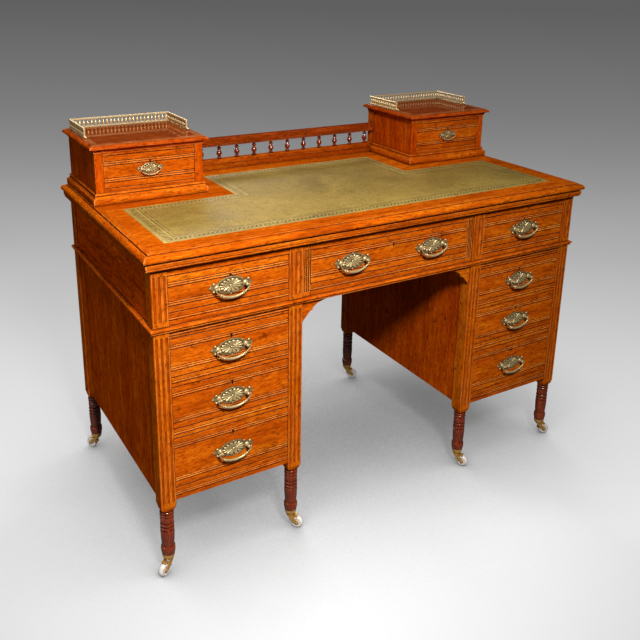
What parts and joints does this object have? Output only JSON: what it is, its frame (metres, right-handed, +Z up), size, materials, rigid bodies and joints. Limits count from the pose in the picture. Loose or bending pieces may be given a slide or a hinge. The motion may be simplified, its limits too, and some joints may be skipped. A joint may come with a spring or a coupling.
{
  "type": "kneehole writing desk",
  "caption": "Oak kneehole desk with drawer pedestals on casters, inset leather top, small drawer cases with brass galleries and drop-bail handles.",
  "frame": {"origin": "on the floor under the middle of the top board", "axes": "+X right along the front as the sitter sees it, +Y to the back, +Z up"},
  "size_m": [1.22, 0.63, 0.939],
  "materials": {
    "oak": "polished orange-brown, worn",
    "dark_oak": "polished dark red-brown",
    "leather": "olive green, blind tooled, worn",
    "brass": "aged, lightly polished",
    "porcelain": "glazed off-white"
  },
  "bodies": {
    "desk": {"top_board": "oak", "leather_inset": "leather", "frieze_carcass": "oak", "waist_moulding": "oak", "left_pedestal": "oak", "right_pedestal": "oak", "left_case": "oak", "right_case": "oak", "spindle_gallery": "dark_oak", "left_brass_gallery": "brass", "right_brass_gallery": "brass"},
    "centre_frieze_drawer": {"centre_frieze_drawer": "oak", "centre_frieze_left_plate": "brass", "centre_frieze_right_plate": "brass"},
    "left_frieze_drawer": {"left_frieze_drawer": "oak", "left_frieze_plate": "brass"},
    "left_upper_drawer": {"left_upper_drawer": "oak", "left_upper_plate": "brass"},
    "left_middle_drawer": {"left_middle_drawer": "oak", "left_middle_plate": "brass"},
    "left_lower_drawer": {"left_lower_drawer": "oak", "left_lower_plate": "brass"},
    "right_frieze_drawer": {"right_frieze_drawer": "oak", "right_frieze_plate": "brass"},
    "right_upper_drawer": {"right_upper_drawer": "oak", "right_upper_plate": "brass"},
    "right_middle_drawer": {"right_middle_drawer": "oak", "right_middle_plate": "brass"},
    "right_lower_drawer": {"right_lower_drawer": "oak", "right_lower_plate": "brass"},
    "left_case_drawer": {"left_case_drawer": "oak"},
    "right_case_drawer": {"right_case_drawer": "oak"},
    "centre_frieze_left_bail": {"centre_frieze_left_bail": "brass"},
    "centre_frieze_right_bail": {"centre_frieze_right_bail": "brass"},
    "left_frieze_bail": {"left_frieze_bail": "brass"},
    "left_upper_bail": {"left_upper_bail": "brass"},
    "left_middle_bail": {"left_middle_bail": "brass"},
    "left_lower_bail": {"left_lower_bail": "brass"},
    "right_frieze_bail": {"right_frieze_bail": "brass"},
    "right_upper_bail": {"right_upper_bail": "brass"},
    "right_middle_bail": {"right_middle_bail": "brass"},
    "right_lower_bail": {"right_lower_bail": "brass"},
    "left_case_bail": {"left_case_bail": "brass"},
    "right_case_bail": {"right_case_bail": "brass"},
    "left_outer_front_caster_fork": {"left_outer_front_caster_fork": "brass"},
    "left_outer_front_caster_wheel": {"left_outer_front_caster_wheel": "porcelain"},
    "left_outer_back_caster_fork": {"left_outer_back_caster_fork": "brass"},
    "left_outer_back_caster_wheel": {"left_outer_back_caster_wheel": "porcelain"},
    "left_inner_front_caster_fork": {"left_inner_front_caster_fork": "brass"},
    "left_inner_front_caster_wheel": {"left_inner_front_caster_wheel": "porcelain"},
    "left_inner_back_caster_fork": {"left_inner_back_caster_fork": "brass"},
    "left_inner_back_caster_wheel": {"left_inner_back_caster_wheel": "porcelain"},
    "right_outer_front_caster_fork": {"right_outer_front_caster_fork": "brass"},
    "right_outer_front_caster_wheel": {"right_outer_front_caster_wheel": "porcelain"},
    "right_outer_back_caster_fork": {"right_outer_back_caster_fork": "brass"},
    "right_outer_back_caster_wheel": {"right_outer_back_caster_wheel": "porcelain"},
    "right_inner_front_caster_fork": {"right_inner_front_caster_fork": "brass"},
    "right_inner_front_caster_wheel": {"right_inner_front_caster_wheel": "porcelain"},
    "right_inner_back_caster_fork": {"right_inner_back_caster_fork": "brass"},
    "right_inner_back_caster_wheel": {"right_inner_back_caster_wheel": "porcelain"}
  },
  "joints": [
    {"name": "centre_frieze_drawer_slide", "type": "slide", "parent": "desk", "child": "centre_frieze_drawer", "axis": [0, -1, 0], "range_m": [0, 0.4]},
    {"name": "left_frieze_drawer_slide", "type": "slide", "parent": "desk", "child": "left_frieze_drawer", "axis": [0, -1, 0], "range_m": [0, 0.4]},
    {"name": "left_upper_drawer_slide", "type": "slide", "parent": "desk", "child": "left_upper_drawer", "axis": [0, -1, 0], "range_m": [0, 0.4]},
    {"name": "left_middle_drawer_slide", "type": "slide", "parent": "desk", "child": "left_middle_drawer", "axis": [0, -1, 0], "range_m": [0, 0.4]},
    {"name": "left_lower_drawer_slide", "type": "slide", "parent": "desk", "child": "left_lower_drawer", "axis": [0, -1, 0], "range_m": [0, 0.4]},
    {"name": "right_frieze_drawer_slide", "type": "slide", "parent": "desk", "child": "right_frieze_drawer", "axis": [0, -1, 0], "range_m": [0, 0.4]},
    {"name": "right_upper_drawer_slide", "type": "slide", "parent": "desk", "child": "right_upper_drawer", "axis": [0, -1, 0], "range_m": [0, 0.4]},
    {"name": "right_middle_drawer_slide", "type": "slide", "parent": "desk", "child": "right_middle_drawer", "axis": [0, -1, 0], "range_m": [0, 0.4]},
    {"name": "right_lower_drawer_slide", "type": "slide", "parent": "desk", "child": "right_lower_drawer", "axis": [0, -1, 0], "range_m": [0, 0.4]},
    {"name": "left_case_drawer_slide", "type": "slide", "parent": "desk", "child": "left_case_drawer", "axis": [0, -1, 0], "range_m": [0, 0.15]},
    {"name": "right_case_drawer_slide", "type": "slide", "parent": "desk", "child": "right_case_drawer", "axis": [0, -1, 0], "range_m": [0, 0.15]},
    {"name": "centre_frieze_left_bail_swing", "type": "hinge", "parent": "centre_frieze_drawer", "child": "centre_frieze_left_bail", "pos_m": [-0.11405, -0.3073, 0.6691], "axis": [-1, 0, 0], "range_deg": [0, 95]},
    {"name": "centre_frieze_right_bail_swing", "type": "hinge", "parent": "centre_frieze_drawer", "child": "centre_frieze_right_bail", "pos_m": [0.11405, -0.3073, 0.6691], "axis": [-1, 0, 0], "range_deg": [0, 95]},
    {"name": "left_frieze_bail_swing", "type": "hinge", "parent": "left_frieze_drawer", "child": "left_frieze_bail", "pos_m": [-0.418, -0.3073, 0.6691], "axis": [-1, 0, 0], "range_deg": [0, 95]},
    {"name": "left_upper_bail_swing", "type": "hinge", "parent": "left_upper_drawer", "child": "left_upper_bail", "pos_m": [-0.418, -0.3073, 0.5275], "axis": [-1, 0, 0], "range_deg": [0, 95]},
    {"name": "left_middle_bail_swing", "type": "hinge", "parent": "left_middle_drawer", "child": "left_middle_bail", "pos_m": [-0.418, -0.3073, 0.4107], "axis": [-1, 0, 0], "range_deg": [0, 95]},
    {"name": "left_lower_bail_swing", "type": "hinge", "parent": "left_lower_drawer", "child": "left_lower_bail", "pos_m": [-0.418, -0.3073, 0.2778], "axis": [-1, 0, 0], "range_deg": [0, 95]},
    {"name": "right_frieze_bail_swing", "type": "hinge", "parent": "right_frieze_drawer", "child": "right_frieze_bail", "pos_m": [0.418, -0.3073, 0.6691], "axis": [-1, 0, 0], "range_deg": [0, 95]},
    {"name": "right_upper_bail_swing", "type": "hinge", "parent": "right_upper_drawer", "child": "right_upper_bail", "pos_m": [0.418, -0.3073, 0.5275], "axis": [-1, 0, 0], "range_deg": [0, 95]},
    {"name": "right_middle_bail_swing", "type": "hinge", "parent": "right_middle_drawer", "child": "right_middle_bail", "pos_m": [0.418, -0.3073, 0.4107], "axis": [-1, 0, 0], "range_deg": [0, 95]},
    {"name": "right_lower_bail_swing", "type": "hinge", "parent": "right_lower_drawer", "child": "right_lower_bail", "pos_m": [0.418, -0.3073, 0.2778], "axis": [-1, 0, 0], "range_deg": [0, 95]},
    {"name": "left_case_bail_swing", "type": "hinge", "parent": "left_case_drawer", "child": "left_case_bail", "pos_m": [-0.453, 0.06761, 0.8435], "axis": [-1, 0, 0], "range_deg": [0, 95]},
    {"name": "right_case_bail_swing", "type": "hinge", "parent": "right_case_drawer", "child": "right_case_bail", "pos_m": [0.453, 0.06761, 0.8435], "axis": [-1, 0, 0], "range_deg": [0, 95]},
    {"name": "left_outer_front_caster_swivel", "type": "hinge", "parent": "desk", "child": "left_outer_front_caster_fork", "pos_m": [-0.574, -0.279, 0.0434], "axis": [0, 0, 1], "continuous": true},
    {"name": "left_outer_back_caster_swivel", "type": "hinge", "parent": "desk", "child": "left_outer_back_caster_fork", "pos_m": [-0.574, 0.281, 0.0434], "axis": [0, 0, 1], "continuous": true},
    {"name": "left_inner_front_caster_swivel", "type": "hinge", "parent": "desk", "child": "left_inner_front_caster_fork", "pos_m": [-0.262, -0.279, 0.0434], "axis": [0, 0, 1], "continuous": true},
    {"name": "left_inner_back_caster_swivel", "type": "hinge", "parent": "desk", "child": "left_inner_back_caster_fork", "pos_m": [-0.262, 0.281, 0.0434], "axis": [0, 0, 1], "continuous": true},
    {"name": "right_outer_front_caster_swivel", "type": "hinge", "parent": "desk", "child": "right_outer_front_caster_fork", "pos_m": [0.574, -0.279, 0.0434], "axis": [0, 0, 1], "continuous": true},
    {"name": "right_outer_back_caster_swivel", "type": "hinge", "parent": "desk", "child": "right_outer_back_caster_fork", "pos_m": [0.574, 0.281, 0.0434], "axis": [0, 0, 1], "continuous": true},
    {"name": "right_inner_front_caster_swivel", "type": "hinge", "parent": "desk", "child": "right_inner_front_caster_fork", "pos_m": [0.262, -0.279, 0.0434], "axis": [0, 0, 1], "continuous": true},
    {"name": "right_inner_back_caster_swivel", "type": "hinge", "parent": "desk", "child": "right_inner_back_caster_fork", "pos_m": [0.262, 0.281, 0.0434], "axis": [0, 0, 1], "continuous": true},
    {"name": "left_outer_front_caster_wheel_roll", "type": "hinge", "parent": "left_outer_front_caster_fork", "child": "left_outer_front_caster_wheel", "pos_m": [-0.58872, -0.2875, 0.015], "axis": [0.5, -0.866, 0], "continuous": true},
    {"name": "left_outer_back_caster_wheel_roll", "type": "hinge", "parent": "left_outer_back_caster_fork", "child": "left_outer_back_caster_wheel", "pos_m": [-0.58375, 0.29493, 0.015], "axis": [-0.8191, -0.5736, 0], "continuous": true},
    {"name": "left_inner_front_caster_wheel_roll", "type": "hinge", "parent": "left_inner_front_caster_fork", "child": "left_inner_front_caster_wheel", "pos_m": [-0.24998, -0.29102, 0.015], "axis": [0.7071, 0.7071, 0], "continuous": true},
    {"name": "left_inner_back_caster_wheel_roll", "type": "hinge", "parent": "left_inner_back_caster_fork", "child": "left_inner_back_caster_wheel", "pos_m": [-0.2535, 0.29572, 0.015], "axis": [-0.866, 0.5, 0], "continuous": true},
    {"name": "right_outer_front_caster_wheel_roll", "type": "hinge", "parent": "right_outer_front_caster_fork", "child": "right_outer_front_caster_wheel", "pos_m": [0.58997, -0.28481, 0.015], "axis": [0.342, 0.9397, 0], "continuous": true},
    {"name": "right_outer_back_caster_wheel_roll", "type": "hinge", "parent": "right_outer_back_caster_fork", "child": "right_outer_back_caster_wheel", "pos_m": [0.55928, 0.2895, 0.015], "axis": [-0.5, -0.866, 0], "continuous": true},
    {"name": "right_inner_front_caster_wheel_roll", "type": "hinge", "parent": "right_inner_front_caster_fork", "child": "right_inner_front_caster_wheel", "pos_m": [0.2705, -0.29372, 0.015], "axis": [0.866, 0.5, 0], "continuous": true},
    {"name": "right_inner_back_caster_wheel_roll", "type": "hinge", "parent": "right_inner_back_caster_fork", "child": "right_inner_back_caster_wheel", "pos_m": [0.27672, 0.2725, 0.015], "axis": [0.5, 0.866, 0], "continuous": true}
  ]
}
